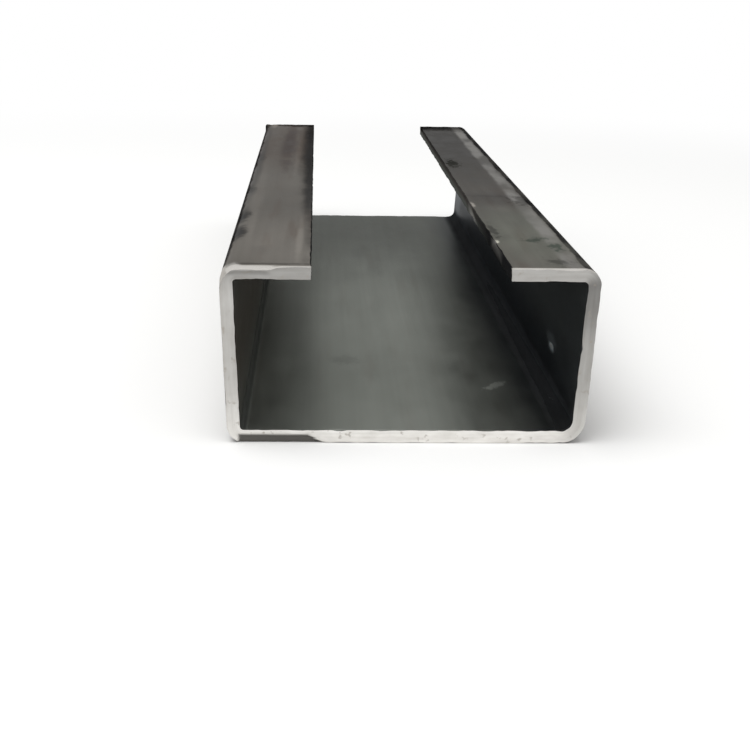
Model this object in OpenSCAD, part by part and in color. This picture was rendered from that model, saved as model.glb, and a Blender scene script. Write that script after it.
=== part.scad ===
// Lipped C channel: one steel strip, cold formed by four long bends and sawn to a short length.
// It lies on its web with its mouth up. X runs across the web, Y along the length and Z upwards,
// and the origin is the middle of the web's underside. Sizes are in millimetres.

/* [Section] */
// Width of the web, between the outer corners that its flanges would have if they were sharp
web_w = 80; // [60:1:200]
// Height from the web's underside to the tops of the lips
flange_h = 40; // [30:1:100]
// Depth of each lip, from the flange's outer corner to the lip's edge
lip_d = 20; // [12:0.5:28]
// Thickness of the strip
strip_t = 3; // [1.5:0.1:4]
// Inside radius of the four bends
bend_r = 0.8; // [0.5:0.1:4]
// Lean of each flange away from the mouth, left by the strip's spring-back, in degrees
flange_lean = 2.2; // [0:0.1:4]

/* [Stock] */
// Length between the two sawn ends
stock_l = 270; // [100:10:6000]

/* [Colour] */
// Colour of the mill scale on the strip
scale_colour = "#5d5b57"; // [#5d5b57:Grey scale, #3f3d3b:Dark scale, #8d8c89:Bare steel]

/* [Hidden] */
$fn = 128;

// Radius of the outside of a bend, which keeps the strip at one thickness
outer_r = bend_r + strip_t;

// Angles that the strip turns through from web to flange and from flange to lip
web_turn = 90 - flange_lean;
lip_turn = 90 + flange_lean;

// Flat stretches of the strip's outer face, each cut back by the bends that it runs into
web_flat = web_w - 2 * setback(web_turn);
flange_flat = flange_h / cos(flange_lean) - setback(web_turn) - setback(lip_turn);
lip_flat = lip_d - setback(lip_turn);

// Half of the strip, from the middle of the web: a flat length, then the turn that follows it
HALF_STRIP = [[web_flat / 2, web_turn], [flange_flat, lip_turn], [lip_flat, 0]];

// Length that a bend takes off the outer face on each side of its sharp corner
function setback(turn) = outer_r * tan(turn / 2);

// Sector of the plane from straight down, round through the turn, that reaches past a bend
module turn_sector(turn) {
    reach = 2 * outer_r;
    polygon([
        [0, 0],
        reach * [sin(0), -cos(0)],
        reach * [sin(turn / 2), -cos(turn / 2)],
        reach * [sin(turn), -cos(turn)]
    ]);
}

// One bend, drawn about its own centre: a ring of the strip's thickness through the turn
module bend(turn) {
    intersection() {
        difference() {
            circle(r = outer_r);
            circle(r = bend_r);
        }
        turn_sector(turn);
    }
}

// Folds the strip leg by leg: a flat, its bend, then the next leg in the direction that the bend leaves
module folded_strip(legs, leg = 0) {
    flat_l = legs[leg][0];
    turn = legs[leg][1];
    square([flat_l, strip_t]);
    if (leg < len(legs) - 1)
        translate([flat_l, outer_r]) {
            bend(turn);
            rotate(turn) translate([0, -outer_r]) folded_strip(legs, leg + 1);
        }
}

// Whole section, drawn in X and height: the folded half and its mirror image meet at the web's middle
module section() {
    folded_strip(HALF_STRIP);
    mirror([1, 0]) folded_strip(HALF_STRIP);
}

// The channel: the section drawn out along Y, half of the length to each side of the origin
module channel() {
    color(scale_colour)
        rotate([90, 0, 0])
            linear_extrude(height = stock_l, center = true)
                section();
}

channel();
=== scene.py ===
"""Looks of a short length of lipped C channel: mill-scale skins, bare sawn ends, nicks and a plain studio."""

import logging
import math
from collections.abc import Mapping
from dataclasses import dataclass
from enum import Enum
from typing import Any

import bpy
import numpy as np
from mathutils import Matrix, Vector


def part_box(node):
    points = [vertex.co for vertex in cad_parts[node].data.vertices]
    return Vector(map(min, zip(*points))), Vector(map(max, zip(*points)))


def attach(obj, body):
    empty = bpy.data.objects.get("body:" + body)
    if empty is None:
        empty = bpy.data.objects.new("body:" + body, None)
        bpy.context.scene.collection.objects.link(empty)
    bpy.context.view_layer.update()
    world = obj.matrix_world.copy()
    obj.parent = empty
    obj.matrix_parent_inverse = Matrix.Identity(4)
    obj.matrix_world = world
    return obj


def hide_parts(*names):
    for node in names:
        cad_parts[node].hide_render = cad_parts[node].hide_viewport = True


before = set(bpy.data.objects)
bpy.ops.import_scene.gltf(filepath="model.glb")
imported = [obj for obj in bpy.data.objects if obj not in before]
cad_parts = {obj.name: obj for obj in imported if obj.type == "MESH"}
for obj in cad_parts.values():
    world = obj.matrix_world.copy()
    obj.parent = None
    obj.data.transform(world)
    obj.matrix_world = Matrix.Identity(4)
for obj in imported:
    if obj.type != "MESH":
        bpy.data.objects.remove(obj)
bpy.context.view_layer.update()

LOG = logging.getLogger("channel_scene")
NODE = "channel"
BODY = "root"
MM = 0.001
IMAGE_PX = 750
SENSOR_MM = 36.0
# Noise lies mostly between these two values
NOISE = (0.3, 0.7)
# Attributes that the mesh carries: the unfolded strip's coordinates, how far a point lies in a tear, whose
# step is painted dark as shade, and how far it is laid bare
STRIP = "strip"
TEAR_AND_SHADE = "tear_and_shade"
BARE = "bare"
# Attribute that only the making needs: the direction from the outer skin to the inner one
INWARD = "inward"
# Kinds of node that are used again and again
MATH = "ShaderNodeMath"
MIX = "ShaderNodeMix"
SPAN = "ShaderNodeMapRange"
VECTOR = "ShaderNodeVectorMath"
PARTS = "ShaderNodeSeparateXYZ"
COMPARE = "FunctionNodeCompare"
NAMED = "GeometryNodeInputNamedAttribute"
STORE = "GeometryNodeStoreNamedAttribute"
Socket = bpy.types.NodeSocket
Tree = bpy.types.NodeTree
Size = tuple[float, float, float]


class Leg(Enum):
    """Legs of the folded section."""

    WEB = "web"
    FLANGE = "flange"
    LIP = "lip"


class Face(Enum):
    """Faces that carry marks, each with its leg, its side (right is 1) and its skin (inside is 1)."""

    WEB_INSIDE = (Leg.WEB, 1, 1)
    LEFT_FLANGE_INSIDE = (Leg.FLANGE, -1, 1)
    RIGHT_FLANGE_INSIDE = (Leg.FLANGE, 1, 1)
    LEFT_LIP_TOP = (Leg.LIP, -1, -1)
    RIGHT_LIP_TOP = (Leg.LIP, 1, -1)

    def __init__(self, leg: Leg, side: int, skin: int) -> None:
        """Keeps the face's three parts by name."""
        self.leg = leg
        self.side = side
        self.skin = skin


def linear(code: str) -> tuple[float, float, float, float]:
    """Turns an sRGB hex colour into linear light.

    Args:
        code: A hash and six hex digits.

    Returns:
        Red, green, blue and an alpha of 1.
    """
    parts = [int(code[i:i + 2], 16) / 255 for i in (1, 3, 5)]
    red, green, blue = (c / 12.92 if c <= 0.04045 else ((c + 0.055) / 1.055) ** 2.4 for c in parts)
    return red, green, blue, 1.0


def add_node(
    tree: Tree, kind: str, *values: Any, plugs: Mapping[str, Any] | None = None, **settings: Any
) -> Socket | None:
    """Adds one node, with its settings, and fills its inputs.

    Args:
        tree: The tree that gets the node.
        kind: Blender's type name for the node.
        *values: For the inputs in use, in their order, a socket, which is linked, or a plain value.
        plugs: The same for inputs that are named by their identifiers.
        **settings: The node's own properties.

    Returns:
        The node's first output that is in use, if it has one.
    """
    node = tree.nodes.new(kind)
    for name, value in settings.items():
        setattr(node, name, value)
    used = [socket for socket in node.inputs if socket.enabled]
    named = {socket.identifier: socket for socket in used}
    filled = [*zip(used, values), *((named[name], value) for name, value in (plugs or {}).items())]
    for socket, value in filled:
        if isinstance(value, Socket):
            tree.links.new(value, socket)
        else:
            socket.default_value = value
    return next((socket for socket in node.outputs if socket.enabled), None)


def blots(tree: Tree, place: Socket, size: Size, detail: float, shift: float = 0.0) -> Socket:
    """Adds an uneven pattern whose blots have a real size.

    Args:
        tree: The material's tree.
        place: Where the pattern is read, in metres.
        size: Size of a blot across the strip, along it and through it, in metres.
        detail: How many finer layers the pattern has.
        shift: Moves the pattern, so that two of one size differ.

    Returns:
        The pattern's value, from 0 to 1 and mostly near a half.
    """
    scale = tuple(1 / s for s in size)
    scaled = add_node(tree, "ShaderNodeMapping", place, (shift, shift, shift), (0, 0, 0), scale)
    return add_node(tree, "ShaderNodeTexNoise", scaled, 1.0, detail)


def stripe(tree: Tree, place: Socket, middle: float, half: float, soft: float) -> Socket:
    """Adds a mask for a stripe of the strip.

    Args:
        tree: The material's tree.
        place: The coordinate that the stripe lies across, in metres.
        middle: The stripe's middle.
        half: Half of its full width.
        soft: Width of each soft side beyond that.

    Returns:
        A value of 1 in the stripe and 0 past its soft sides.
    """
    off = add_node(tree, MATH, place, middle, operation="SUBTRACT")
    off = add_node(tree, MATH, off, operation="ABSOLUTE")
    return add_node(tree, SPAN, off, half, half + soft, 1.0, 0.0, interpolation_type="SMOOTHSTEP")


def start_material(name: str) -> tuple[bpy.types.Material, Tree, Mapping[str, Socket]]:
    """Starts a material on Blender's own shader.

    Args:
        name: The material's name.

    Returns:
        The material, its tree and its shader's inputs.
    """
    made = bpy.data.materials.new(name)
    made.use_nodes = True
    return made, made.node_tree, made.node_tree.nodes["Principled BSDF"].inputs


@dataclass(frozen=True)
class Section:
    """The folded strip's section, in metres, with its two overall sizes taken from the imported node."""

    height: float
    length: float
    web_w: float = 80 * MM
    lip_d: float = 20 * MM
    strip_t: float = 3 * MM
    bend_r: float = 0.8 * MM
    slack_r: float = 2.6 * MM
    slack_in: float = 0.4 * MM
    lean: float = math.radians(2.2)

    @property
    def middle_r(self) -> float:
        """Bend radius of the line halfway through the strip."""
        return self.bend_r + self.strip_t / 2

    @property
    def slack_middle_r(self) -> float:
        """The same radius at the web's right bend, which the rolls left slack."""
        return self.slack_r + self.strip_t / 2

    @property
    def web_turn(self) -> float:
        """Angle that the strip turns through from web to flange."""
        return math.pi / 2 - self.lean

    @property
    def lip_turn(self) -> float:
        """Angle that the strip turns through from flange to lip."""
        return math.pi / 2 + self.lean

    def flange_x(self, height: float) -> float:
        """Gives the outside of the right flange at a height, as its distance from the middle of the web."""
        return self.web_w / 2 + height * math.tan(self.lean)

    def middle_line(self) -> list[Vector]:
        """Lists the corners of the line halfway through the strip, from the left lip's edge to the right.

        Returns:
            Six points in the plane of the section, before the corners are rounded.
        """
        half_t = self.strip_t / 2
        top = self.height - half_t
        inset = half_t / math.cos(self.lean)
        right = [
            Vector((self.flange_x(half_t) - inset, 0, half_t)),
            Vector((self.flange_x(top) - inset, 0, top)),
            Vector((self.flange_x(self.height) - self.lip_d, 0, top)),
        ]
        left = [Vector((-p.x, p.y, p.z)) for p in reversed(right)]
        right[0].x -= self.slack_in
        return left + right

    def on_flange(self, height: float) -> float:
        """Gives a flange's place along the unfolded strip, from the middle of the web.

        Args:
            height: Height of the place above the web's underside.

        Returns:
            Its distance along the middle line.
        """
        bend_cut = self.middle_r * math.tan(self.web_turn / 2)
        flange_start = -self.middle_line()[2].x - 2 * bend_cut + self.middle_r * self.web_turn
        return flange_start + (height - self.strip_t / 2) / math.cos(self.lean)

    def web_bend(self) -> float:
        """Gives the middle of the web's bend along the unfolded strip, from the middle of the web."""
        bend_cut = self.middle_r * math.tan(self.web_turn / 2)
        return self.on_flange(self.strip_t / 2) + bend_cut - self.middle_r * self.web_turn / 2

    def lip_marks(self) -> Size:
        """Gives where a lip's bend starts and ends along the unfolded strip, and where the lip's edge is.

        Returns:
            Three distances along the middle line, from the middle of the web.
        """
        bend_cut = self.middle_r * math.tan(self.lip_turn / 2)
        corner, edge = self.middle_line()[4:]
        bend_start = self.on_flange(corner.z) - bend_cut
        bend_end = bend_start + self.middle_r * self.lip_turn
        return bend_start, bend_end, bend_end + (corner - edge).length - bend_cut


@dataclass(frozen=True)
class StainAndShade:
    """A soft patch of lighter or darker scale, or of painted light or shade, on one face of the strip, with
    its sizes in millimetres.

    On the web, off is measured to the right of its middle. On a flange it is the height, and on a lip the
    distance in from the slit edge. Along runs from the middle of the length to the back. The tone and the
    tint multiply the scale's colour. The gloss is taken off its roughness, so one below 0 dulls the patch.
    """

    face: Face
    off: float
    along: float
    half_w: float
    half_l: float
    tone: float
    tint: str = "#ffffff"
    gloss: float = 0.0
    turn: float = 0.0
    ragged: float = 0.3
    # Share of the patch's reach at which it starts to fade
    fade: float = 0.3

    def middle(self, section: Section) -> Size:
        """Gives the patch's middle on the unfolded strip, in metres.

        Args:
            section: The strip's section.

        Returns:
            Its places across the strip, less than 0 on the left, along it and through it.
        """
        across = self.off * MM
        if self.face.leg is Leg.FLANGE:
            across = self.face.side * section.on_flange(across)
        elif self.face.leg is Leg.LIP:
            across = self.face.side * (section.lip_marks()[2] - across)
        return across, self.along * MM, self.face.skin * section.strip_t / 2


@dataclass(frozen=True)
class MillScale:
    """Hot-rolled strip as it leaves the roll former, under its mill scale.

    The scale gives the eye a dark satin grey, warmer outside than inside, with faint streaks along the
    rolling direction, soft clouds, brown in the thin places and nearly black on the lips' outer bends, partly
    as dark scale and partly as painted shade. Painted shade also darkens the inside corners, the inside's
    lighter colours paint light onto it, and a band beside the right lip's bend is partly rubbed and partly a
    painted highlight.
    """

    section: Section
    shades: tuple[StainAndShade, ...]
    stains: tuple[StainAndShade, ...]
    # The inside's colours are lighter than the outside's, which paints light onto the inside
    outside: tuple[str, str] = ("#726e68", "#817d77")
    inside: tuple[str, str] = ("#868983", "#91948e")
    brown: str = "#6a5f57"
    # Dark scale and painted shade for the bends, inside corners and slit edges, and a band that is partly
    # rubbed and partly a painted highlight
    dark_scale_and_shade: str = "#232324"
    rubbed_and_highlight: str = "#a3a19d"
    bare: str = "#cac7c2"
    edge_tint: str = "#939393"
    metallic: float = 0.9
    roughness: tuple[float, float] = (0.33, 0.40)
    fold_roughness: float = 0.85
    # Sizes of the patterns' blots across the strip, along it and through it
    streak: Size = (1.6 * MM, 120 * MM, 3 * MM)
    cloud: Size = (34 * MM, 55 * MM, 3 * MM)
    mottle: Size = (5 * MM, 12 * MM, 3 * MM)
    fleck: Size = (1.2 * MM, 2.4 * MM, 3 * MM)
    thin: Size = (4 * MM, 45 * MM, 3 * MM)
    patch: Size = (7 * MM, 18 * MM, 3 * MM)
    # The real grain is finer than a pixel, so it is drawn this coarse to show
    grain: Size = (0.5 * MM, 0.9 * MM, 3 * MM)
    grain_depth: float = 0.015 * MM
    grain_strength: float = 0.5
    # Shares of the finer patterns in the colour and the relief, and the spans of values that they fill
    mottle_share: float = 0.4
    streak_share: float = 0.25
    relief_share: float = 0.3
    tone_span: tuple[float, float] = (0.38, 0.62)
    thin_span: tuple[float, float] = (0.52, 0.75)
    patch_span: tuple[float, float] = (0.36, 0.64)
    # Most that the brown covers, and the part of it that shows inside
    brown_most: float = 0.45
    brown_inside: float = 0.25
    # How far the fold marks' sides wander, and where and how far the slit edge's dark line is worn off
    wander: float = 0.3 * MM
    worn_span: tuple[float, float] = (-95 * MM, -40 * MM)
    worn_share: float = 0.5

    def material(self) -> bpy.types.Material:
        """Builds the scale's nodes on the unfolded strip's own coordinates.

        Returns:
            The finished material.
        """
        made, tree, shader = start_material("mill_scale_hot_rolled_steel")
        strip = add_node(tree, "ShaderNodeAttribute", attribute_name=STRIP).node.outputs["Vector"]
        streak = blots(tree, strip, self.streak, 2.0)
        cloud = blots(tree, strip, self.cloud, 2.0)
        mottle = blots(tree, strip, self.mottle, 4.0)
        fleck = blots(tree, strip, self.fleck, 3.0)
        grain = blots(tree, strip, self.grain, 3.0)
        tone = add_node(tree, MIX, self.mottle_share, cloud, mottle)
        tone = add_node(tree, MIX, self.streak_share, tone, streak)
        tone = add_node(tree, SPAN, tone, *self.tone_span)
        through = add_node(tree, PARTS, strip).node.outputs["Z"]
        inner = add_node(tree, MATH, through, 0.0, operation="GREATER_THAN")
        skins = [
            add_node(tree, MIX, tone, linear(dark), linear(pale), data_type="RGBA")
            for dark, pale in (self.outside, self.inside)
        ]
        colour = add_node(tree, MIX, inner, *skins, data_type="RGBA")
        rough = add_node(tree, SPAN, mottle, *NOISE, *self.roughness)
        colour = self.brown_streaks(tree, strip, inner, colour)
        for tone_patch in self.shades:
            colour, rough = self.lay_stain_and_shade(tree, tone_patch, strip, mottle, colour, rough)
        colour, rough = self.bend_marks_and_shade(tree, strip, mottle, colour, rough)
        for tone_patch in self.stains:
            colour, rough = self.lay_stain_and_shade(tree, tone_patch, strip, fleck, colour, rough)
        filed = add_node(tree, "ShaderNodeAttribute", attribute_name=BARE).node.outputs["Fac"]
        colour = add_node(tree, MIX, filed, colour, linear(self.bare), data_type="RGBA")
        relief = add_node(tree, MIX, self.relief_share, grain, streak)
        plugs = {"Height": relief, "Distance": self.grain_depth, "Strength": self.grain_strength}
        tree.links.new(colour, shader["Base Color"])
        tree.links.new(rough, shader["Roughness"])
        tree.links.new(add_node(tree, "ShaderNodeBump", plugs=plugs), shader["Normal"])
        shader["Metallic"].default_value = self.metallic
        shader["Specular Tint"].default_value = linear(self.edge_tint)
        return made

    def brown_streaks(self, tree: Tree, strip: Socket, inner: Socket, colour: Socket) -> Socket:
        """Lets brown show in long faint streaks where the scale is thin, mostly outside.

        Args:
            tree: The material's tree.
            strip: The unfolded strip's coordinates.
            inner: A value of 1 on the inside.
            colour: The scale's colour so far.

        Returns:
            The colour with the streaks.
        """
        thin = blots(tree, strip, self.thin, 3.0, shift=0.31)
        span = (*self.thin_span, 0.0, self.brown_most)
        thin = add_node(tree, SPAN, thin, *span, interpolation_type="SMOOTHSTEP")
        share = add_node(tree, SPAN, inner, 0.0, 1.0, 1.0, self.brown_inside)
        thin = add_node(tree, MATH, thin, share, operation="MULTIPLY")
        return add_node(tree, MIX, thin, colour, linear(self.brown), data_type="RGBA")

    def bend_marks_and_shade(
        self, tree: Tree, strip: Socket, mottle: Socket, colour: Socket, rough: Socket
    ) -> tuple[Socket, Socket]:
        """Paints shade on the lips' outer bends, over dark pits on the left one, and in the inside corners,
        darkens the slit edges, and lays a band beside the right lip's bend that is partly rubbed and partly a
        painted highlight.

        Args:
            tree: The material's tree.
            strip: The unfolded strip's coordinates.
            mottle: Fine pattern that breaks the marks' edges.
            colour: The scale's colour so far.
            rough: The scale's roughness so far.

        Returns:
            The colour and the roughness with the marks.
        """
        across, along, through = add_node(tree, PARTS, strip).node.outputs
        bend_start, bend_end, edge = self.section.lip_marks()
        bend_l = bend_end - bend_start
        corner = self.section.web_bend()
        out = add_node(tree, MATH, across, operation="ABSOLUTE")
        outer = add_node(tree, MATH, through, 0.0, operation="LESS_THAN")
        inner = add_node(tree, MATH, 1.0, outer, operation="SUBTRACT")
        ragged = add_node(tree, SPAN, mottle, *NOISE, -self.wander, self.wander)
        uneven = add_node(tree, MATH, across, ragged)
        worn_off = add_node(tree, SPAN, along, *self.worn_span, 1.0, self.worn_share)
        patches = blots(tree, strip, self.patch, 3.0, shift=0.63)
        coarse = 0.0
        # Each mark: its coordinate, middle, half width and soft side, the mask of its skin, the shares of it
        # that the patches leave at least and at most, and its colour
        for place, middle, half, soft, skin, low, high, code in (
            # Band beside the right lip's bend, partly rubbed by the rolls and partly a painted highlight
            (uneven, bend_end + 2.0 * MM, 1.0 * MM, 1.4 * MM, outer, 0.2, 0.85, self.rubbed_and_highlight),
            # Left lip's outer bend: dark pits in the scale and painted shade along the rim
            (uneven, 0.72 * bend_l - bend_end, 0.2 * bend_l, 0.15 * bend_l, outer, 0.7, 0.95, self.dark_scale_and_shade),
            # Right lip's outer bend: painted shade along the rim
            (uneven, bend_end - 0.2 * bend_l, 0.13 * bend_l, 0.13 * bend_l, outer, 0.55, 0.95, self.dark_scale_and_shade),
            # Inside corners between the web and the flanges: painted shade
            (across, -corner, 0.5 * bend_l, 0.3 * bend_l, inner, 0.7, 0.7, self.dark_scale_and_shade),
            (across, corner, 0.6 * bend_l, 0.9 * bend_l, inner, 0.58, 0.58, self.dark_scale_and_shade),
            (out, edge, 0.1 * MM, 0.25 * MM, worn_off, 1.0, 1.0, self.dark_scale_and_shade),
        ):
            mask = stripe(tree, place, middle, half, soft)
            if code == self.dark_scale_and_shade:
                coarse = add_node(tree, MATH, coarse, mask, operation="MAXIMUM")
            span = (*self.patch_span, low, high)
            share = add_node(tree, SPAN, patches, *span, interpolation_type="SMOOTHSTEP")
            for factor in (share, skin):
                mask = add_node(tree, MATH, mask, factor, operation="MULTIPLY")
            colour = add_node(tree, MIX, mask, colour, linear(code), data_type="RGBA")
        return colour, add_node(tree, MIX, coarse, rough, self.fold_roughness)

    def lay_stain_and_shade(
        self, tree: Tree, tone_patch: StainAndShade, strip: Socket, pattern: Socket, colour: Socket, rough: Socket
    ) -> tuple[Socket, Socket]:
        """Lays one stain, or one patch of painted light or shade, over the scale.

        Args:
            tree: The material's tree.
            tone_patch: The patch to lay.
            strip: The unfolded strip's coordinates.
            pattern: Pattern that makes the patch's outline uneven.
            colour: The colour under it.
            rough: The roughness under it.

        Returns:
            The colour and the roughness with the patch.
        """
        size = (tone_patch.half_w * MM, tone_patch.half_l * MM, self.section.strip_t / 2)
        frame_of_patch = (tone_patch.middle(self.section), (0, 0, tone_patch.turn), size)
        place = add_node(tree, "ShaderNodeMapping", strip, *frame_of_patch, vector_type="TEXTURE")
        reach = add_node(tree, VECTOR, place, operation="LENGTH")
        uneven = add_node(tree, SPAN, pattern, *NOISE, -tone_patch.ragged, tone_patch.ragged)
        reach = add_node(tree, MATH, reach, uneven)
        span = (tone_patch.fade, 1.0, 1.0, 0.0)
        mask = add_node(tree, SPAN, reach, *span, interpolation_type="SMOOTHSTEP")
        red, green, blue, _ = linear(tone_patch.tint)
        shade = (red * tone_patch.tone, green * tone_patch.tone, blue * tone_patch.tone, 1)
        colour = add_node(tree, MIX, mask, colour, shade, data_type="RGBA", blend_type="MULTIPLY")
        if tone_patch.gloss:
            drop = add_node(tree, MATH, mask, tone_patch.gloss, operation="MULTIPLY")
            rough = add_node(tree, MATH, rough, drop, operation="SUBTRACT")
        return colour, rough


@dataclass(frozen=True)
class SawnSteel:
    """Bare low-carbon steel where the saw went through the strip.

    The cut gives the eye a bright satin grey, with soft streaks along the strip, a smeared rim, a few dull
    spots and a rough tear where the cut broke out. Painted shade keeps it brightest at the web, dims it up to
    the lips and most on the right flange, and darkens the tear.
    """

    section: Section
    bright: str = "#f2f0ec"
    dull: str = "#dbd8d3"
    spot: str = "#9a9389"
    # The tear's colour, painted dark as shade
    torn_and_shaded: str = "#605e5b"
    metallic: float = 1.0
    roughness: tuple[float, float] = (0.34, 0.5)
    # Sizes of the patterns' blots across the strip, along it and through it
    line: Size = (16 * MM, 3 * MM, 0.9 * MM)
    blot: Size = (3.5 * MM, 3 * MM, 2.0 * MM)
    speck: Size = (1.8 * MM, 1.5 * MM, 1.5 * MM)
    # Share of the blots in the colour, the spans of the patterns' values, and the most that a spot covers
    blot_share: float = 0.5
    tone_span: tuple[float, float] = (0.36, 0.64)
    speck_span: tuple[float, float] = (0.62, 0.76)
    speck_most: float = 0.6
    relief: float = 0.02 * MM
    relief_strength: float = 0.5

    def material(self) -> bpy.types.Material:
        """Builds the cut's nodes on the strip's own coordinates.

        Returns:
            The finished material.
        """
        made, tree, shader = start_material("sawn_low_carbon_steel")
        strip = add_node(tree, "ShaderNodeAttribute", attribute_name=STRIP).node.outputs["Vector"]
        torn_and_shaded = add_node(tree, "ShaderNodeAttribute", attribute_name=TEAR_AND_SHADE).node.outputs["Fac"]
        lines = blots(tree, strip, self.line, 2.0)
        spread = blots(tree, strip, self.blot, 4.0)
        specks = blots(tree, strip, self.speck, 2.0, shift=0.47)
        tone = add_node(tree, MIX, self.blot_share, lines, spread)
        tone = add_node(tree, SPAN, tone, *self.tone_span)
        colour = add_node(tree, MIX, tone, linear(self.dull), linear(self.bright), data_type="RGBA")
        colour = self.shade(tree, strip, colour)
        span = (*self.speck_span, 0.0, self.speck_most)
        specks = add_node(tree, SPAN, specks, *span, interpolation_type="SMOOTHSTEP")
        for mask, code in ((specks, self.spot), (torn_and_shaded, self.torn_and_shaded)):
            colour = add_node(tree, MIX, mask, colour, linear(code), data_type="RGBA")
        rough = add_node(tree, SPAN, spread, *NOISE, *self.roughness)
        plugs = {"Height": lines, "Distance": self.relief, "Strength": self.relief_strength}
        tree.links.new(colour, shader["Base Color"])
        tree.links.new(rough, shader["Roughness"])
        tree.links.new(add_node(tree, "ShaderNodeBump", plugs=plugs), shader["Normal"])
        shader["Metallic"].default_value = self.metallic
        return made

    def shade(self, tree: Tree, strip: Socket, colour: Socket) -> Socket:
        """Paints shade onto the cut, growing from the web up to the lips and strongest on the right flange.

        Args:
            tree: The material's tree.
            strip: The unfolded strip's coordinates.
            colour: The cut's colour so far.

        Returns:
            The colour, with the painted shade.
        """
        across = add_node(tree, PARTS, strip)
        out = add_node(tree, MATH, across, operation="ABSOLUTE")
        bend_start, bend_end, _ = self.section.lip_marks()
        flange_start = self.section.on_flange(self.section.strip_t)
        web_end = 0.85 * flange_start
        fall = 1.0
        # Each step: its coordinate, where it starts and ends, its values there, and how it joins the others
        for place, start, stop, low, high, join in (
            (across, web_end, flange_start, 0.0, -0.22, "ADD"),
            (across, bend_start - 16 * MM, bend_start - 4 * MM, 0.0, -0.3, "ADD"),
            (across, bend_start, bend_end, 0.0, 0.73, "ADD"),
            (out, web_end, flange_start + 14 * MM, 1.0, 0.6, "MULTIPLY"),
            (out, bend_start - 4 * MM, bend_end, 1.0, 0.73, "MULTIPLY"),
        ):
            span = (start, stop, low, high)
            step = add_node(tree, SPAN, place, *span, interpolation_type="SMOOTHSTEP")
            fall = add_node(tree, MATH, fall, step, operation=join)
        return add_node(tree, MIX, 1.0, colour, fall, data_type="RGBA", blend_type="MULTIPLY")


@dataclass(frozen=True)
class PaleFloor:
    """Matt white board under soft light, which runs out to a white background past the object's shadow."""

    board: str = "#f8f8f7"
    roughness: float = 0.9
    clear_from: float = 0.22
    clear_to: float = 0.65

    def material(self) -> bpy.types.Material:
        """Builds the board's nodes.

        Returns:
            The finished material.
        """
        made, tree, shader = start_material("matt_white_board")
        shader["Base Color"].default_value = linear(self.board)
        shader["Roughness"].default_value = self.roughness
        shader["Specular IOR Level"].default_value = 0.0
        place = add_node(tree, "ShaderNodeTexCoord").node.outputs["Object"]
        away = add_node(tree, VECTOR, place, operation="LENGTH")
        span = (self.clear_from, self.clear_to)
        clear = add_node(tree, SPAN, away, *span, interpolation_type="SMOOTHERSTEP")
        share = add_node(tree, MATH, clear, Studio.shown_rays(tree), operation="MULTIPLY")
        white = add_node(tree, "ShaderNodeEmission", (1, 1, 1, 1), 1.0)
        board = tree.nodes["Principled BSDF"].outputs["BSDF"]
        mixed = add_node(tree, "ShaderNodeMixShader", share, board, white)
        tree.links.new(mixed, tree.nodes["Material Output"].inputs["Surface"])
        return made


@dataclass(frozen=True)
class Nick:
    """A small dent, in millimetres, that pushes the surface aside and may lay the steel bare."""

    at: Size
    reach: Size
    push: Size
    bare: float = 0.0

    def share(self, points: np.ndarray) -> np.ndarray:
        """Tells how far the dent takes each point.

        Args:
            points: The mesh's points in millimetres, one in each row.

        Returns:
            A number from 0 to 1 for each point.
        """
        away = np.linalg.norm((points - self.at) / self.reach, axis=1)
        return np.clip(1 - away**2, 0, 1) ** 2


@dataclass(frozen=True)
class TearAndShade:
    """A stretch of the front end, in millimetres, where the saw broke out and left a rough step, painted dark
    as shade.
    """

    left: float
    right: float
    bottom: float
    top: float
    depth: float
    # How far the step's painted shade darkens it
    dark: float
    slant: float = 0.0
    soft: float = 0.4

    def share(self, points: np.ndarray, front: float) -> np.ndarray:
        """Tells how far each point lies in the tear.

        Args:
            points: The mesh's points in millimetres, one in each row.
            front: The front end's place along the length.

        Returns:
            A number from 0 to 1 for each point.
        """
        x, y, z = points.T
        inset = np.minimum(x - self.left, self.right - self.slant * z - x)
        inset = np.minimum(inset, np.minimum(z - self.bottom, self.top - z))
        return np.clip(inset / self.soft + 0.5, 0, 1) * (y < front + 2 * self.depth)


@dataclass(frozen=True)
class Dressing:
    """A stretch of the front end whose outer edge was filed off, in millimetres along the unfolded strip."""

    start: float
    stop: float
    depth: float
    reach: float
    spread: float = 0.0
    soft: float = 2.0

    def share(self, strip: np.ndarray, front: float) -> np.ndarray:
        """Tells how far the file went at each point, from nothing at its reach to all of it at the end.

        Args:
            strip: The points' places on the unfolded strip in millimetres, one in each row.
            front: The front end's place along the length.

        Returns:
            A number from 0 to 1 for each point.
        """
        across, along, through = strip.T
        inset = np.minimum(across - self.start, self.stop - across)
        part = np.clip((across - self.start) / (self.stop - self.start), 0, 1)
        near = np.clip(1 - (along - front) / (self.reach + self.spread * part), 0, 1)
        return np.clip(inset / self.soft + 0.5, 0, 1) * near * (through < 0)


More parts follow.
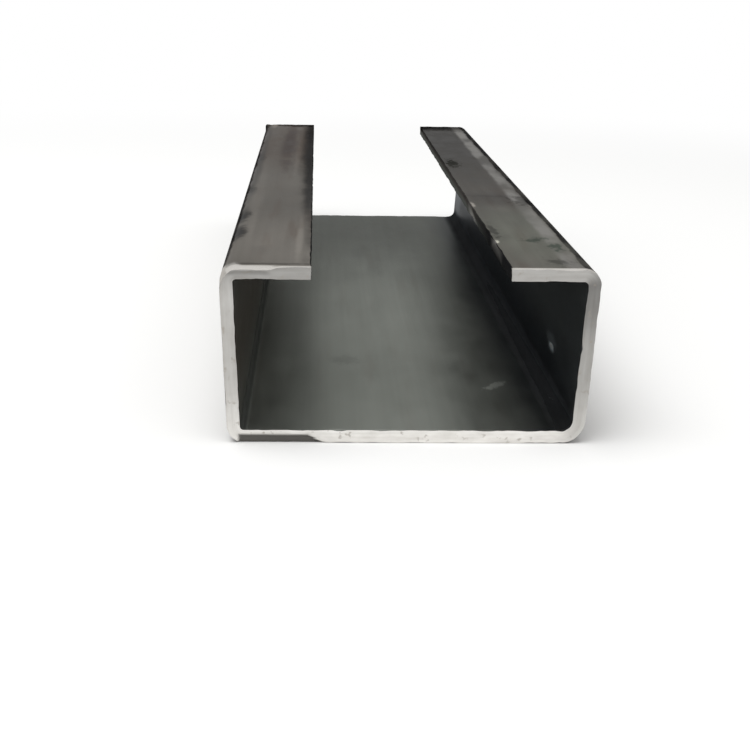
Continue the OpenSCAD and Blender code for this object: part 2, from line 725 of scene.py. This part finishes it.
@dataclass
class Channel:
    """The channel: a strip swept through its folds, with rounded edges, waves, filed edges and dents."""

    section: Section
    scale: MillScale
    sawn: SawnSteel
    nicks: tuple[Nick, ...]
    tears_and_shade: tuple[TearAndShade, ...]
    dressings: tuple[Dressing, ...]
    edge_round: float = 0.08 * MM
    slack_bend: int = 3
    bend_steps: int = 12
    edge_steps: int = 3
    across_step: float = 1.1 * MM
    along_step: float = 2.4 * MM
    through_step: float = 0.4 * MM
    tip_cuts: tuple[int, ...] = (3, 7)
    end_cuts: int = 7
    wave_depth: float = 0.06 * MM
    wave_size: float = 42 * MM
    saw_depth: float = 0.16 * MM
    saw_size: float = 5 * MM
    burr_depth: float = 0.25 * MM
    burr_size: float = 3.5 * MM
    burr_reach: float = 0.8 * MM
    slit_depth: float = 0.35 * MM
    slit_size: float = 5 * MM
    slit_reach: float = 1.5 * MM
    # Noise value at which a roughened surface is at its deepest
    deepest: float = 0.75
    # Gap from the slit edge under which a face is flat, and how squarely a face of a sawn end looks along Y
    flat_gap: float = 0.001 * MM
    end_facing: float = 0.45

    def inputs(self) -> dict[str, tuple[str, Any]]:
        """Lists the sweep's inputs, each with the kind of its socket and its value.

        Returns:
            Input name to kind and value.
        """
        size = self.section
        lengths = {
            "Thickness": size.strip_t,
            "Length": size.length,
            "Half Web": size.web_w / 2,
            "Half Strip": size.lip_marks()[2],
            "Middle Radius": size.middle_r,
            "Slack Radius": size.slack_middle_r,
            "Edge Round": self.edge_round,
            "Across Step": self.across_step,
            "Along Step": self.along_step,
            "Through Step": self.through_step,
            "Wave Depth": self.wave_depth,
            "Wave Size": self.wave_size,
            "Saw Depth": self.saw_depth,
            "Saw Size": self.saw_size,
            "Burr Depth": self.burr_depth,
            "Burr Size": self.burr_size,
            "Burr Reach": self.burr_reach,
            "Slit Depth": self.slit_depth,
            "Slit Size": self.slit_size,
            "Slit Reach": self.slit_reach,
        }
        counts = {
            "Slack Bend": self.slack_bend,
            "Bend Steps": self.bend_steps,
            "Edge Steps": self.edge_steps,
            "End Cuts": self.end_cuts,
        }
        finishes = {"Skin": self.scale.material(), "Cut": self.sawn.material()}
        groups = {"NodeSocketFloat": lengths, "NodeSocketInt": counts, "NodeSocketMaterial": finishes}
        return {name: (kind, value) for kind, group in groups.items() for name, value in group.items()}

    def sweep_tree(self, inputs: Mapping[str, tuple[str, Any]]) -> Tree:
        """Builds the tree that rounds the folds, sweeps the strip and roughens it.

        Args:
            inputs: The tree's named inputs, with their kinds.

        Returns:
            The tree.
        """
        tree = bpy.data.node_groups.new("folded_strip", "GeometryNodeTree")
        for way in ("INPUT", "OUTPUT"):
            tree.interface.new_socket("Geometry", in_out=way, socket_type="NodeSocketGeometry")
        for name, (kind, _) in inputs.items():
            tree.interface.new_socket(name, in_out="INPUT", socket_type=kind)
        given = add_node(tree, "NodeGroupInput").node.outputs
        line = self.fold_line(tree, given)
        block = self.strip_block(tree, given)
        plugs = {"Curve": line, "Profile Curve": block, "Fill Caps": True}
        solid = add_node(tree, "GeometryNodeCurveToMesh", plugs=plugs)
        solid = self.round_tips(tree, given, solid)
        solid = self.roughen(tree, given, solid)
        tip_gap = add_node(tree, NAMED, "tip_gap")
        rounded = add_node(tree, COMPARE, tip_gap, self.flat_gap, operation="GREATER_THAN")
        solid = add_node(tree, "GeometryNodeSetShadeSmooth", solid, True, rounded)
        for name in ("across", "through", "run", "tip_gap"):
            solid = add_node(tree, "GeometryNodeRemoveAttribute", solid, name)
        facing = add_node(tree, "GeometryNodeInputNormal")
        facing = add_node(tree, PARTS, facing).node.outputs["Y"]
        facing = add_node(tree, MATH, facing, operation="ABSOLUTE")
        ends = add_node(tree, COMPARE, facing, self.end_facing, operation="GREATER_THAN")
        solid = add_node(tree, "GeometryNodeRealizeInstances", solid)
        solid = add_node(tree, "GeometryNodeSetMaterial", solid, True, given["Skin"])
        solid = add_node(tree, "GeometryNodeSetMaterial", solid, ends, given["Cut"])
        add_node(tree, "NodeGroupOutput", solid)
        return tree

    def fold_line(self, tree: Tree, given: Mapping[str, Socket]) -> Socket:
        """Rounds the middle line's corners and cuts it finely, most finely at the lips' edges.

        Args:
            tree: The tree being built.
            given: The tree's inputs.

        Returns:
            The line, with each point's place on it stored.
        """
        line = add_node(tree, "GeometryNodeMeshToCurve", given["Geometry"])
        index = add_node(tree, "GeometryNodeInputIndex")
        slack_bend = given["Slack Bend"]
        slack = add_node(tree, COMPARE, index, slack_bend, data_type="INT", operation="EQUAL")
        radius = add_node(tree, MIX, slack, given["Middle Radius"], given["Slack Radius"])
        line = add_node(tree, "GeometryNodeFilletCurve", line, given["Bend Steps"], radius, mode="POLY")
        length, _ = self.segment(tree)
        cuts = add_node(tree, MATH, length, given["Across Step"], operation="DIVIDE")
        line = add_node(tree, "GeometryNodeSubdivideCurve", line, cuts)
        tips = add_node(tree, "GeometryNodeCurveEndpointSelection", 1, 2)
        for count in self.tip_cuts:
            cuts = add_node(tree, MATH, tips, count, operation="MULTIPLY")
            line = add_node(tree, "GeometryNodeSubdivideCurve", line, cuts)
        # The slack bend shortens the strip, so the right half's places are stretched to end at the same edge
        along = add_node(tree, "GeometryNodeSplineParameter").node.outputs["Length"]
        total = add_node(tree, "GeometryNodeSplineLength")
        half = given["Half Strip"]
        short = add_node(tree, MATH, half, 2.0, operation="MULTIPLY")
        short = add_node(tree, MATH, short, total, operation="SUBTRACT")
        across = add_node(tree, MATH, along, half, operation="SUBTRACT")
        stretch = add_node(tree, SPAN, across, 0.0, given["Half Web"], 0.0, short)
        across = add_node(tree, MATH, across, stretch)
        out = add_node(tree, MATH, across, operation="ABSOLUTE")
        tip_gap = add_node(tree, MATH, half, out, operation="SUBTRACT")
        run = add_node(tree, "GeometryNodeInputTangent")
        inward = add_node(tree, VECTOR, run, (0, 1, 0), operation="CROSS_PRODUCT")
        for name, value, kind in (
            ("across", across, "FLOAT"),
            ("tip_gap", tip_gap, "FLOAT"),
            ("run", run, "FLOAT_VECTOR"),
            (INWARD, inward, "FLOAT_VECTOR"),
        ):
            line = add_node(tree, STORE, line, True, name, value, data_type=kind)
        return line

    @staticmethod
    def segment(tree: Tree) -> tuple[Socket, Socket]:
        """Measures the segment that follows each point of a curve.

        Args:
            tree: The tree being built.

        Returns:
            Its length, and the larger of its two ends' distances from the middle along X.
        """
        here = add_node(tree, "GeometryNodeInputPosition")
        index = add_node(tree, "GeometryNodeInputIndex")
        after = add_node(tree, "GeometryNodeOffsetPointInCurve", index, 1).node.outputs["Point Index"]
        there = add_node(tree, "GeometryNodeFieldAtIndex", here, after, data_type="FLOAT_VECTOR")
        length = add_node(tree, VECTOR, here, there, operation="DISTANCE")
        ends = [add_node(tree, PARTS, point) for point in (here, there)]
        ends = [add_node(tree, MATH, x, operation="ABSOLUTE") for x in ends]
        return length, add_node(tree, MATH, *ends, operation="MAXIMUM")

    def strip_block(self, tree: Tree, given: Mapping[str, Socket]) -> Socket:
        """Draws the strip's thickness and length as one outline with rounded corners.

        Args:
            tree: The tree being built.
            given: The tree's inputs.

        Returns:
            The outline, cut finely near the sawn ends, with each point's place through the strip stored.
        """
        thickness, along_step, through_step = (given[n] for n in ("Thickness", "Along Step", "Through Step"))
        block = add_node(tree, "GeometryNodeCurvePrimitiveQuadrilateral", given["Length"], thickness)
        corner = (given["Edge Steps"], given["Edge Round"])
        block = add_node(tree, "GeometryNodeFilletCurve", block, *corner, mode="POLY")
        length, _ = self.segment(tree)
        long = add_node(tree, COMPARE, length, thickness, operation="GREATER_THAN")
        step = add_node(tree, MIX, long, through_step, along_step)
        cuts = add_node(tree, MATH, length, step, operation="DIVIDE")
        block = add_node(tree, "GeometryNodeSubdivideCurve", block, cuts)
        length, far = self.segment(tree)
        long = add_node(tree, COMPARE, length, through_step, operation="GREATER_THAN")
        half = add_node(tree, MATH, given["Length"], 0.5, operation="MULTIPLY")
        limit = add_node(tree, MATH, half, along_step, operation="SUBTRACT")
        cuts = add_node(tree, COMPARE, far, limit, operation="GREATER_THAN")
        for factor in (long, given["End Cuts"]):
            cuts = add_node(tree, MATH, cuts, factor, operation="MULTIPLY")
        block = add_node(tree, "GeometryNodeSubdivideCurve", block, cuts)
        here = add_node(tree, "GeometryNodeInputPosition")
        through = add_node(tree, PARTS, here).node.outputs["Y"]
        return add_node(tree, STORE, block, True, "through", through)

    def round_tips(self, tree: Tree, given: Mapping[str, Socket], solid: Socket) -> Socket:
        """Stores the unfolded strip's coordinates, and thins the strip to a quarter round at its slit edges.

        Args:
            tree: The tree being built.
            given: The tree's inputs.
            solid: The swept strip.

        Returns:
            The strip with rounded edges.
        """
        across, through, tip_gap = (
            add_node(tree, NAMED, name) for name in ("across", "through", "tip_gap")
        )
        inward = add_node(tree, NAMED, INWARD, data_type="FLOAT_VECTOR")
        here = add_node(tree, "GeometryNodeInputPosition")
        along = add_node(tree, PARTS, here).node.outputs["Y"]
        place = add_node(tree, "ShaderNodeCombineXYZ", across, along, through)
        stored = (solid, True, STRIP, place)
        solid = add_node(tree, STORE, *stored, data_type="FLOAT_VECTOR")
        radius = given["Edge Round"]
        short = add_node(tree, MATH, tip_gap, radius, operation="MINIMUM")
        short = add_node(tree, MATH, radius, short, operation="SUBTRACT")
        part = add_node(tree, MATH, short, radius, operation="DIVIDE")
        part = add_node(tree, MATH, part, operation="ARCSINE")
        part = add_node(tree, MATH, part, operation="COSINE")
        part = add_node(tree, MATH, 1.0, part, operation="SUBTRACT")
        drop = add_node(tree, MATH, part, radius, operation="MULTIPLY")
        move = (0, 0, 0)
        for value, size, axis in ((through, "Thickness", inward), (along, "Length", (0, 1, 0))):
            share = add_node(tree, MATH, value, given[size], operation="DIVIDE")
            for factor in (drop, -2.0):
                share = add_node(tree, MATH, share, factor, operation="MULTIPLY")
            part = add_node(tree, VECTOR, axis, share, operation="SCALE")
            move = add_node(tree, VECTOR, move, part)
        return add_node(tree, "GeometryNodeSetPosition", plugs={"Geometry": solid, "Offset": move})

    def roughen(self, tree: Tree, given: Mapping[str, Socket], solid: Socket) -> Socket:
        """Sinks the skins into shallow waves, and the sawn ends and the slit edges into small uneven steps.

        Args:
            tree: The tree being built.
            given: The tree's inputs.
            solid: The swept strip.

        Returns:
            The strip with its surfaces moved inwards, never outwards.
        """
        here = add_node(tree, "GeometryNodeInputPosition")
        along = add_node(tree, PARTS, here).node.outputs["Y"]
        half = add_node(tree, MATH, given["Length"], 0.5, operation="MULTIPLY")
        end_gap = add_node(tree, MATH, along, operation="ABSOLUTE")
        end_gap = add_node(tree, MATH, half, end_gap, operation="SUBTRACT")
        across, through, tip_gap = (
            add_node(tree, NAMED, name) for name in ("across", "through", "tip_gap")
        )
        run, inward = (
            add_node(tree, NAMED, name, data_type="FLOAT_VECTOR")
            for name in ("run", INWARD)
        )
        level = add_node(tree, MATH, through, given["Thickness"], operation="DIVIDE")
        level = add_node(tree, MATH, level, 2.0, operation="MULTIPLY")
        skin_side = add_node(tree, VECTOR, inward, level, operation="SCALE")
        end_side = add_node(tree, MATH, along, operation="SIGN")
        end_side = add_node(tree, "ShaderNodeCombineXYZ", 0.0, end_side)
        tip_side = add_node(tree, MATH, across, operation="SIGN")
        tip_side = add_node(tree, VECTOR, run, tip_side, operation="SCALE")
        # Each kind of unevenness: its inputs' names, the gap that it fades out over and the input with that
        # gap's reach, the noise value up to which the surface is untouched, and the way out of the steel
        for name, gap, reach, rest, outward in (
            ("Wave", None, None, 0.15, skin_side),
            ("Burr", end_gap, "Burr Reach", 0.48, skin_side),
            ("Saw", end_gap, "Burr Reach", 0.2, end_side),
            ("Slit", tip_gap, "Slit Reach", 0.42, tip_side),
        ):
            place = add_node(tree, VECTOR, here, given[f"{name} Size"], operation="DIVIDE")
            deep = add_node(tree, "ShaderNodeTexNoise", place, 1.0, 2.0)
            deep = add_node(tree, SPAN, deep, rest, self.deepest)
            factors = [given[f"{name} Depth"], -1.0]
            if gap is not None:
                span = (0.0, given[reach], 1.0, 0.0)
                factors.append(
                    add_node(tree, SPAN, gap, *span, interpolation_type="SMOOTHSTEP")
                )
            for factor in factors:
                deep = add_node(tree, MATH, deep, factor, operation="MULTIPLY")
            move = add_node(tree, VECTOR, outward, deep, operation="SCALE")
            solid = add_node(tree, "GeometryNodeSetPosition", plugs={"Geometry": solid, "Offset": move})
        return solid

    def build(self) -> bpy.types.Object:
        """Sweeps the strip to a plain mesh and marks it.

        Returns:
            The finished piece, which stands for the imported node.
        """
        corners = self.section.middle_line()
        path = bpy.data.meshes.new("middle_line")
        path.from_pydata(corners, [(i, i + 1) for i in range(len(corners) - 1)], [])
        maker = bpy.data.objects.new("strip_maker", path)
        bpy.context.scene.collection.objects.link(maker)
        inputs = self.inputs()
        modifier = maker.modifiers.new("sweep", "NODES")
        modifier.node_group = self.sweep_tree(inputs)
        for item in modifier.node_group.interface.items_tree:
            if item.in_out == "INPUT" and item.name in inputs:
                modifier[item.identifier] = inputs[item.name][1]
        depsgraph = bpy.context.evaluated_depsgraph_get()
        mesh = bpy.data.meshes.new_from_object(maker.evaluated_get(depsgraph), depsgraph=depsgraph)
        bpy.data.objects.remove(maker)
        mesh.name = NODE
        self.mark(mesh)
        piece = bpy.data.objects.new("lipped_channel", mesh)
        bpy.context.scene.collection.objects.link(piece)
        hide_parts(NODE)
        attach(piece, BODY)
        return piece

    @staticmethod
    def rows(data: bpy.types.bpy_prop_collection, field: str) -> np.ndarray:
        """Reads three numbers of each point of a mesh.

        Args:
            data: The mesh's points, or an attribute's values on them.
            field: The name of the three numbers.

        Returns:
            One row for each point.
        """
        values = np.empty(len(data) * 3)
        data.foreach_get(field, values)
        return values.reshape(-1, 3)

    def mark(self, mesh: bpy.types.Mesh) -> None:
        """Files the edges, opens the tears, whose steps are painted dark as shade, and presses the nicks.

        Args:
            mesh: The swept strip, which is changed in place.
        """
        points = self.rows(mesh.vertices, "co") / MM
        strip = self.rows(mesh.attributes[STRIP].data, "vector") / MM
        inward = self.rows(mesh.attributes[INWARD].data, "vector")
        mesh.attributes.remove(mesh.attributes[INWARD])
        outer = np.clip(-2 * MM * strip[:, 2] / self.section.strip_t, 0, 1)
        front = -self.section.length / 2 / MM
        torn_and_shaded = np.zeros(len(points))
        bare = np.zeros(len(points))
        for dressing in self.dressings:
            share = dressing.share(strip, front)
            bare = np.maximum(bare, np.clip(4 * share, 0, 1))
            points += (share * outer * dressing.depth)[:, None] * inward
        for tear_and_shade in self.tears_and_shade:
            share = tear_and_shade.share(points, front)
            torn_and_shaded = np.maximum(torn_and_shaded, share * tear_and_shade.dark)
            points[:, 1] += share * tear_and_shade.depth
        for nick in self.nicks:
            share = nick.share(points)
            bare = np.maximum(bare, share * nick.bare)
            points += share[:, None] * nick.push
        mesh.vertices.foreach_set("co", (points * MM).ravel())
        for name, values in ((TEAR_AND_SHADE, torn_and_shaded), (BARE, bare)):
            mesh.attributes.new(name, "FLOAT", "POINT").data.foreach_set("value", values.astype(np.float32))
        mesh.update()


@dataclass
class Studio:
    """White board, an even sky, one soft box that the metal doesn't mirror, and the camera."""

    floor: PaleFloor
    floor_half: float = 6.0
    sky: float = 0.60
    box_at: Size = (-0.35, -0.25, 1.3)
    box_size: float = 1.2
    box_watts: float = 13.0
    camera_at: Size = (-20.7 * MM, -414.6 * MM, 101.0 * MM)
    yaw: float = math.radians(-2.704)
    pitch: float = math.radians(16.92)
    roll: float = math.radians(1.102)
    focal_px: float = 1333.3
    near_clip: float = 0.01

    @staticmethod
    def shown_rays(tree: Tree) -> Socket:
        """Gives 1 for rays that show the background: to the camera, in gloss and through glass.

        Args:
            tree: The tree that asks.

        Returns:
            The flag's socket.
        """
        rays = add_node(tree, "ShaderNodeLightPath").node.outputs
        shown = rays["Is Camera Ray"]
        for name in ("Is Glossy Ray", "Is Transmission Ray"):
            shown = add_node(tree, MATH, shown, rays[name], operation="MAXIMUM")
        return shown

    def build_floor(self) -> bpy.types.Object:
        """Lays the board under the object.

        Returns:
            The floor.
        """
        half = self.floor_half
        corners = [(-half, -half, 0), (half, -half, 0), (half, half, 0), (-half, half, 0)]
        mesh = bpy.data.meshes.new("floor")
        mesh.from_pydata(corners, [], [(0, 1, 2, 3)])
        mesh.materials.append(self.floor.material())
        floor = bpy.data.objects.new("floor", mesh)
        bpy.context.scene.collection.objects.link(floor)
        return floor

    def build_light(self) -> None:
        """Sets the even sky and the soft box."""
        world = bpy.data.worlds.new("white_sky")
        bpy.context.scene.world = world
        world.use_nodes = True
        tree = world.node_tree
        strength = add_node(tree, SPAN, self.shown_rays(tree), 0.0, 1.0, self.sky, 1.0)
        back = tree.nodes["Background"].inputs
        back["Color"].default_value = (1, 1, 1, 1)
        tree.links.new(strength, back["Strength"])
        lamp = bpy.data.lights.new("soft_box", "AREA")
        lamp.size = self.box_size
        lamp.energy = self.box_watts
        box = bpy.data.objects.new("soft_box", lamp)
        box.visible_glossy = False
        box.location = self.box_at
        box.rotation_mode = "QUATERNION"
        box.rotation_quaternion = (-Vector(self.box_at)).to_track_quat("-Z", "Y")
        bpy.context.scene.collection.objects.link(box)

    def build_camera(self) -> None:
        """Stands the camera where the photograph was taken from."""
        lens = bpy.data.cameras.new("camera")
        lens.sensor_width = SENSOR_MM
        lens.lens = self.focal_px / IMAGE_PX * SENSOR_MM
        lens.clip_start = self.near_clip
        camera = bpy.data.objects.new("camera", lens)
        turn = Matrix.Rotation(self.yaw, 4, "Z")
        turn = turn @ Matrix.Rotation(math.pi / 2 - self.pitch, 4, "X") @ Matrix.Rotation(self.roll, 4, "Z")
        camera.matrix_world = Matrix.Translation(self.camera_at) @ turn
        bpy.context.scene.collection.objects.link(camera)
        bpy.context.scene.camera = camera


# Broad changes of tone under the fold marks: face, off, along, half width, half length, tone. Some are
# painted light and shade, as marked below.
SHADES = (
    StainAndShade(Face.LEFT_LIP_TOP, 9, 75, 22, 92, 0.68, "#fff3ec", ragged=0.1),
    StainAndShade(Face.LEFT_LIP_TOP, 8.6, 84, 3.6, 92, 0.55, "#f2dcd4", turn=0.012),
    StainAndShade(Face.LEFT_LIP_TOP, 4.8, 58, 1.3, 80, 1.35, turn=0.012),
    StainAndShade(Face.LEFT_LIP_TOP, 0.6, 30, 3.0, 190, 0.25, ragged=0.15),
    StainAndShade(Face.LEFT_LIP_TOP, 1.0, 75, 5.6, 160, 0.42, gloss=-0.15, ragged=0.1),
    # Painted shade along the left lip's outer rim
    StainAndShade(Face.LEFT_LIP_TOP, 17.4, 50, 1.8, 180, 0.55, ragged=0.2),
    StainAndShade(Face.LEFT_LIP_TOP, 15.2, -40, 2.2, 90, 1.2, ragged=0.2),
    StainAndShade(Face.LEFT_LIP_TOP, 9, -122, 22, 66, 1.28, ragged=0.1),
    StainAndShade(Face.LEFT_LIP_TOP, 2.8, -101, 1.4, 36, 1.35, turn=0.012),
    StainAndShade(Face.RIGHT_LIP_TOP, 8, 140, 50, 260, 0.3, ragged=0.05),
    StainAndShade(Face.RIGHT_LIP_TOP, 11, -46, 20, 15, 0.75, ragged=0.1),
    StainAndShade(Face.RIGHT_LIP_TOP, 9, -95, 18, 54, 1.16, "#f6fffa", ragged=0.1),
    StainAndShade(Face.WEB_INSIDE, 0, 130, 60, 130, 0.63, ragged=0.05),
    # Painted light: a lighter pool on the web's middle, towards the front
    StainAndShade(Face.WEB_INSIDE, -6, -30, 54, 62, 1.13, ragged=0.05),
    StainAndShade(Face.WEB_INSIDE, -31, -112, 10, 70, 1.4, ragged=0.05),
    # Painted shade in the web's front right corner and along its right side, where the right lip's shadow
    # falls
    StainAndShade(Face.WEB_INSIDE, 37, -135, 9, 24, 0.6, ragged=0.05),
    StainAndShade(Face.WEB_INSIDE, 40, 0, 19, 400, 0.48, "#f0f2ff", ragged=0.05),
    # Painted shade on the right flange's inside
    StainAndShade(Face.RIGHT_FLANGE_INSIDE, 24, 0, 34, 400, 0.53, "#eaeeff", ragged=0.05),
    # Painted shade on the left flange's inside, with a warmer tint of the scale
    StainAndShade(Face.LEFT_FLANGE_INSIDE, 22, 0, 24, 400, 0.6, "#ffe8de", ragged=0.05),
)

# Dirt, dull patches and bright flecks over the fold marks
STAINS = (
    StainAndShade(Face.LEFT_LIP_TOP, 17.9, -73, 2.8, 13, 0.15, ragged=0.2),
    StainAndShade(Face.LEFT_LIP_TOP, 17.6, -96, 2.6, 12, 0.15, ragged=0.2),
    StainAndShade(Face.LEFT_LIP_TOP, 18.0, -30, 2.4, 11, 0.3, ragged=0.3),
    StainAndShade(Face.LEFT_LIP_TOP, 18.0, 36, 2.6, 18, 0.35, ragged=0.3),
    StainAndShade(Face.LEFT_LIP_TOP, 10, -132.4, 18, 1.4, 0.6, ragged=0.2),
    StainAndShade(Face.RIGHT_LIP_TOP, 2.8, 28, 2.8, 12, 0.4, "#f4fff0", gloss=-0.25, ragged=0.5),
    StainAndShade(Face.RIGHT_LIP_TOP, 15, -47, 4, 10, 0.5, gloss=-0.1, ragged=0.4),
    StainAndShade(Face.RIGHT_LIP_TOP, 0.5, -105, 0.9, 2.6, 5.0, ragged=0.1),
    StainAndShade(Face.RIGHT_LIP_TOP, 0.6, -53, 0.9, 5, 3.5, ragged=0.2),
    StainAndShade(Face.RIGHT_LIP_TOP, 8, -39, 13, 2.2, 0.75, turn=0.1, ragged=0.4),
    StainAndShade(Face.RIGHT_LIP_TOP, 10, -103, 3.4, 4, 0.5, "#eefff6", turn=0.5, ragged=0.5),
    StainAndShade(Face.RIGHT_LIP_TOP, 13.5, -111, 2.0, 7, 0.5, "#eefff6", ragged=0.5),
    StainAndShade(Face.RIGHT_LIP_TOP, 11.4, -128, 3.4, 5, 0.55, turn=-0.3, ragged=0.5),
    StainAndShade(Face.RIGHT_LIP_TOP, 1.2, -92, 1.8, 12, 0.45, ragged=0.6),
    StainAndShade(Face.LEFT_LIP_TOP, 7, 136, 16, 11, 0.25, gloss=-0.45, ragged=0.1),
    StainAndShade(Face.LEFT_LIP_TOP, 0, 125, 4.5, 60, 0.6, gloss=-0.1, ragged=0.2),
    StainAndShade(Face.LEFT_LIP_TOP, 15.8, 133, 1.8, 12, 2.4, ragged=0.2),
    StainAndShade(Face.RIGHT_LIP_TOP, 6, 136, 20, 20, 0.2, gloss=-0.45, ragged=0.1),
    StainAndShade(Face.RIGHT_LIP_TOP, 0, 134, 5.5, 20, 0.3, ragged=0.2),
    StainAndShade(Face.RIGHT_FLANGE_INSIDE, 14, 124, 12, 15, 2.6, ragged=0.12),
    StainAndShade(Face.WEB_INSIDE, -12.8, -79, 5.5, 6, 0.86),
    StainAndShade(Face.WEB_INSIDE, 24.5, -101, 4.8, 2.0, 2.0, turn=0.8, ragged=0.4),
    StainAndShade(Face.RIGHT_FLANGE_INSIDE, 14.6, -101, 2.2, 9, 2.4, ragged=0.1),
    StainAndShade(Face.RIGHT_FLANGE_INSIDE, 13.0, -101, 1.2, 5, 9.0, gloss=0.1, ragged=0.1),
)

# Dents in the right lip's edge, the right flange and the front end, and a burr at the far left corner
NICKS = (
    Nick((21.5, -104.7, 39.5), (1.2, 3.5, 1.6), (0.5, 0, -0.3), 0.5),
    Nick((21.5, -57, 38.0), (1.2, 6, 2.0), (0.6, 0, 0.2), 1.0),
    Nick((37.6, -101, 13.5), (1.0, 2.6, 1.6), (0.2, 0, 0)),
    Nick((-15.3, -135, 3.0), (1.6, 1.0, 0.8), (0, 0.4, -0.4)),
    Nick((-41.0, -135, 14), (0.8, 0.8, 1.6), (0.3, 0.3, 0)),
    Nick((38.0, -135, 22), (0.8, 0.8, 1.4), (0.25, 0.3, 0)),
    Nick((-40.1, 135, 38.7), (1.9, 4.0, 1.9), (-0.7, 0, 1.0)),
)

# Break-outs under the web's left part and at the left lip's bend, their steps painted dark as shade
TEARS_AND_SHADE = (
    TearAndShade(-37.5, -18.8, -0.5, 1.8, 0.5, 1.0, slant=1.8),
    TearAndShade(-40.0, -31, 38.1, 38.8, 0.25, 0.4),
)

# Filed edges of the left lip, in three strokes, and of the right one
DRESSINGS = (
    Dressing(-84, -72.5, 0.8, 1.6),
    Dressing(-76.4, -71.8, 0.06, 2.0, spread=8, soft=0.8),
    Dressing(-92.2, -84, 0.15, 0.8),
    Dressing(74, 92.2, 0.2, 0.9),
)


def main() -> None:
    """Builds the studio and the channel."""
    logging.basicConfig(level=logging.INFO, format="%(message)s")
    low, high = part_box(NODE)
    section = Section(height=high.z - low.z, length=high.y - low.y)
    studio = Studio(PaleFloor())
    studio.build_camera()
    studio.build_floor()
    studio.build_light()
    scale = MillScale(section, SHADES, STAINS)
    channel = Channel(section, scale, SawnSteel(section), NICKS, TEARS_AND_SHADE, DRESSINGS)
    piece = channel.build()
    triangles = sum(len(face.vertices) - 2 for face in piece.data.polygons)
    LOG.info("%s: %d triangles", piece.name, triangles)
    bpy.context.scene.view_settings.view_transform = "Standard"


if __name__ == "__main__":
    main()
